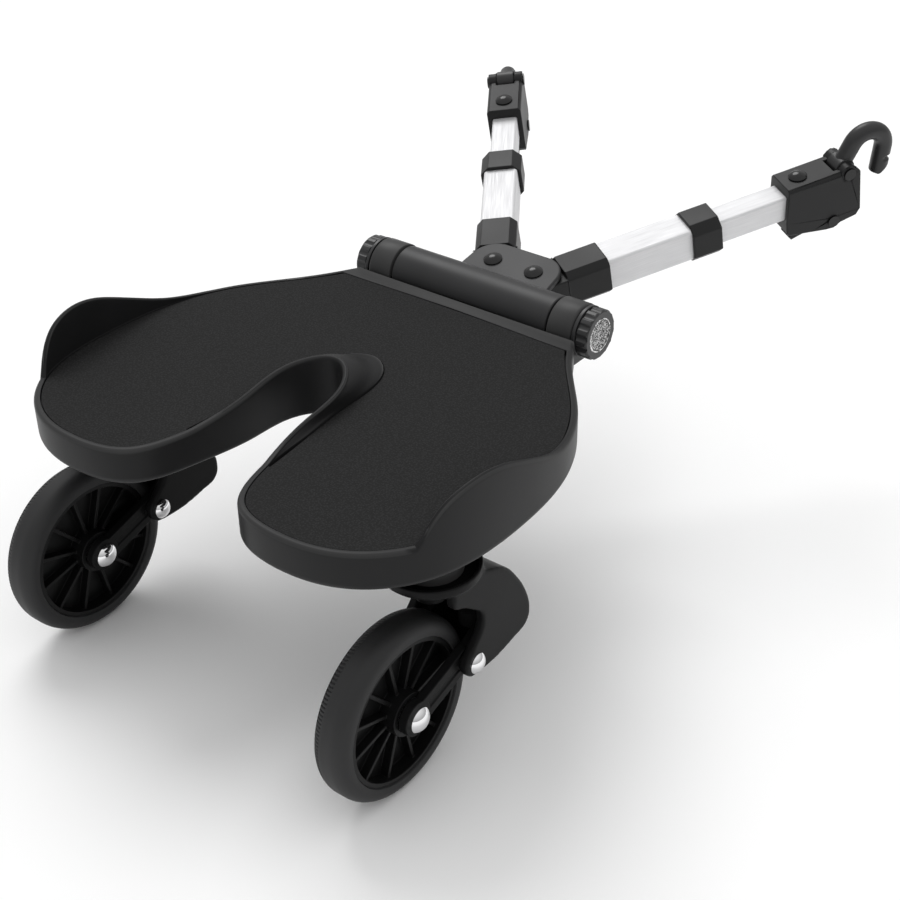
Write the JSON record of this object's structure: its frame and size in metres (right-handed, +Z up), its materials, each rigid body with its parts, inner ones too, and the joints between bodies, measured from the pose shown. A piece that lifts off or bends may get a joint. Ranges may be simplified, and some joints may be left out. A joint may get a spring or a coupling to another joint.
{
  "type": "stroller ride-on board",
  "caption": "Ride-on board for a stroller: notched deck on sprung swivel casters, with tilting, spreading telescopic arms that end in swinging hooks.",
  "frame": {"origin": "on the floor under the middle of the whole board's box", "axes": "+X to the rider's right, +Y forward to the stroller, +Z up"},
  "size_m": [0.3532, 0.6046, 0.2655],
  "materials": {
    "deck_plastic": "moulded black plastic with a fine leather grain and a soft sheen",
    "mat_rubber": "black anti-slip mat with a fine pebbled surface",
    "yoke_plastic": "moulded black glass-filled plastic, satin",
    "arm_plastic": "moulded black plastic, satin",
    "hook_plastic": "black plastic, semi-gloss",
    "reflector": "silver prismatic reflector with a fine honeycomb",
    "tube_aluminium": "drawn square tube, natural anodised",
    "bolt_black": "black oxide, semi-gloss",
    "steel": "plain bright steel",
    "washer_fibre": "dark friction fibre",
    "caster_plastic": "moulded black plastic, fine satin texture",
    "bush_plastic": "black acetal, low friction",
    "wheel_plastic": "black nylon wheel centre",
    "tyre_rubber": "black soft polyurethane tyre, dull satin",
    "cushion_rubber": "black elastomer spring block",
    "cap_chrome": "polished chrome dome caps"
  },
  "bodies": {
    "deck": {"deck_shell": "deck_plastic", "grip_mat": "mat_rubber", "hinge_rod": "steel", "friction_washers": "washer_fibre", "swivel_pin_left": "steel", "swivel_pin_right": "steel"},
    "yoke": {"yoke_body": "yoke_plastic", "yoke_cover": "yoke_plastic", "hub_bolts": "bolt_black"},
    "knob_left": {"clamp_knob_left": "yoke_plastic", "knob_reflector_left": "reflector"},
    "arm_left": {"arm_socket_left": "arm_plastic", "outer_tube_left": "tube_aluminium", "tube_collar_left": "arm_plastic", "length_screw_left": "bolt_black"},
    "extension_left": {"inner_tube_left": "tube_aluminium", "connector_head_left": "arm_plastic", "head_bolt_left": "bolt_black", "hook_pin_left": "bolt_black", "lever_pin_left": "bolt_black", "lever_spring_left": "steel"},
    "hook_left": {"hook_left": "hook_plastic"},
    "lever_left": {"release_lever_left": "arm_plastic"},
    "caster_left": {"swivel_bush_left": "bush_plastic", "caster_fork_left": "caster_plastic", "pivot_pins_left": "cap_chrome", "suspension_cushion_left": "cushion_rubber"},
    "swing_left": {"swing_arm_left": "caster_plastic", "axle_left": "steel", "axle_caps_left": "cap_chrome"},
    "wheel_left": {"wheel_rim_left": "wheel_plastic", "wheel_tyre_left": "tyre_rubber", "wheel_bearings_left": "steel"},
    "knob_right": {"clamp_knob_right": "yoke_plastic", "knob_reflector_right": "reflector"},
    "arm_right": {"arm_socket_right": "arm_plastic", "outer_tube_right": "tube_aluminium", "tube_collar_right": "arm_plastic", "length_screw_right": "bolt_black"},
    "extension_right": {"inner_tube_right": "tube_aluminium", "connector_head_right": "arm_plastic", "head_bolt_right": "bolt_black", "hook_pin_right": "bolt_black", "lever_pin_right": "bolt_black", "lever_spring_right": "steel"},
    "hook_right": {"hook_right": "hook_plastic"},
    "lever_right": {"release_lever_right": "arm_plastic"},
    "caster_right": {"swivel_bush_right": "bush_plastic", "caster_fork_right": "caster_plastic", "pivot_pins_right": "cap_chrome", "suspension_cushion_right": "cushion_rubber"},
    "swing_right": {"swing_arm_right": "caster_plastic", "axle_right": "steel", "axle_caps_right": "cap_chrome"},
    "wheel_right": {"wheel_rim_right": "wheel_plastic", "wheel_tyre_right": "tyre_rubber", "wheel_bearings_right": "steel"}
  },
  "joints": [
    {"name": "arm_tilt", "type": "hinge", "parent": "deck", "child": "yoke", "pos_m": [-0.00219, 0.02727, 0.1795], "axis": [1, 0, 0], "range_deg": [-30, 75]},
    {"name": "knob_turn_left", "type": "hinge", "parent": "deck", "child": "knob_left", "pos_m": [-0.09159, 0.02727, 0.1795], "axis": [-1, 0, 0], "range_deg": [0, 360]},
    {"name": "arm_spread_left", "type": "hinge", "parent": "yoke", "child": "arm_left", "pos_m": [-0.02019, 0.07025, 0.17025], "axis": [0, -0.2402, 0.9707], "range_deg": [-33, 27]},
    {"name": "arm_slide_left", "type": "slide", "parent": "arm_left", "child": "extension_left", "axis": [-0.5476, 0.8123, 0.201], "range_m": [-0.038, 0.045]},
    {"name": "hook_swing_left", "type": "hinge", "parent": "extension_left", "child": "hook_left", "pos_m": [-0.15489, 0.26663, 0.23358], "axis": [0.8368, 0.5315, 0.1315], "range_deg": [0, 97]},
    {"name": "lever_press_left", "type": "hinge", "parent": "extension_left", "child": "lever_left", "pos_m": [-0.14745, 0.26442, 0.19513], "axis": [-0.8368, -0.5315, -0.1315], "range_deg": [0, 12], "stiffness_Nm_per_rad": 1, "springref_deg": -5.73},
    {"name": "caster_swivel_left", "type": "hinge", "parent": "deck", "child": "caster_left", "pos_m": [-0.13769, -0.20233, 0.137], "axis": [0, 0, 1], "continuous": true},
    {"name": "swing_left", "type": "hinge", "parent": "caster_left", "child": "swing_left", "pos_m": [-0.13769, -0.19493, 0.0747], "axis": [-1, 0, 0], "range_deg": [0, 8], "stiffness_Nm_per_rad": 60, "springref_deg": -2.29, "deforming": ["suspension_cushion_left"]},
    {"name": "wheel_spin_left", "type": "hinge", "parent": "swing_left", "child": "wheel_left", "pos_m": [-0.13769, -0.24233, 0.06], "axis": [1, 0, 0], "continuous": true},
    {"name": "knob_turn_right", "type": "hinge", "parent": "deck", "child": "knob_right", "pos_m": [0.08721, 0.02727, 0.1795], "axis": [1, 0, 0], "range_deg": [0, 360]},
    {"name": "arm_spread_right", "type": "hinge", "parent": "yoke", "child": "arm_right", "pos_m": [0.01581, 0.07025, 0.17025], "axis": [0, 0.2402, -0.9707], "range_deg": [-33, 27]},
    {"name": "arm_slide_right", "type": "slide", "parent": "arm_right", "child": "extension_right", "axis": [0.5476, 0.8123, 0.201], "range_m": [-0.038, 0.045]},
    {"name": "hook_swing_right", "type": "hinge", "parent": "extension_right", "child": "hook_right", "pos_m": [0.15051, 0.26663, 0.23358], "axis": [0.8368, -0.5315, -0.1315], "range_deg": [-72, 25]},
    {"name": "lever_press_right", "type": "hinge", "parent": "extension_right", "child": "lever_right", "pos_m": [0.14306, 0.26442, 0.19513], "axis": [-0.8368, 0.5315, 0.1315], "range_deg": [0, 12], "stiffness_Nm_per_rad": 1, "springref_deg": -5.73},
    {"name": "caster_swivel_right", "type": "hinge", "parent": "deck", "child": "caster_right", "pos_m": [0.13331, -0.20233, 0.137], "axis": [0, 0, 1], "continuous": true},
    {"name": "swing_right", "type": "hinge", "parent": "caster_right", "child": "swing_right", "pos_m": [0.13331, -0.19493, 0.0747], "axis": [-1, 0, 0], "range_deg": [0, 8], "stiffness_Nm_per_rad": 60, "springref_deg": -2.29, "deforming": ["suspension_cushion_right"]},
    {"name": "wheel_spin_right", "type": "hinge", "parent": "swing_right", "child": "wheel_right", "pos_m": [0.13331, -0.24233, 0.06], "axis": [1, 0, 0], "continuous": true}
  ]
}
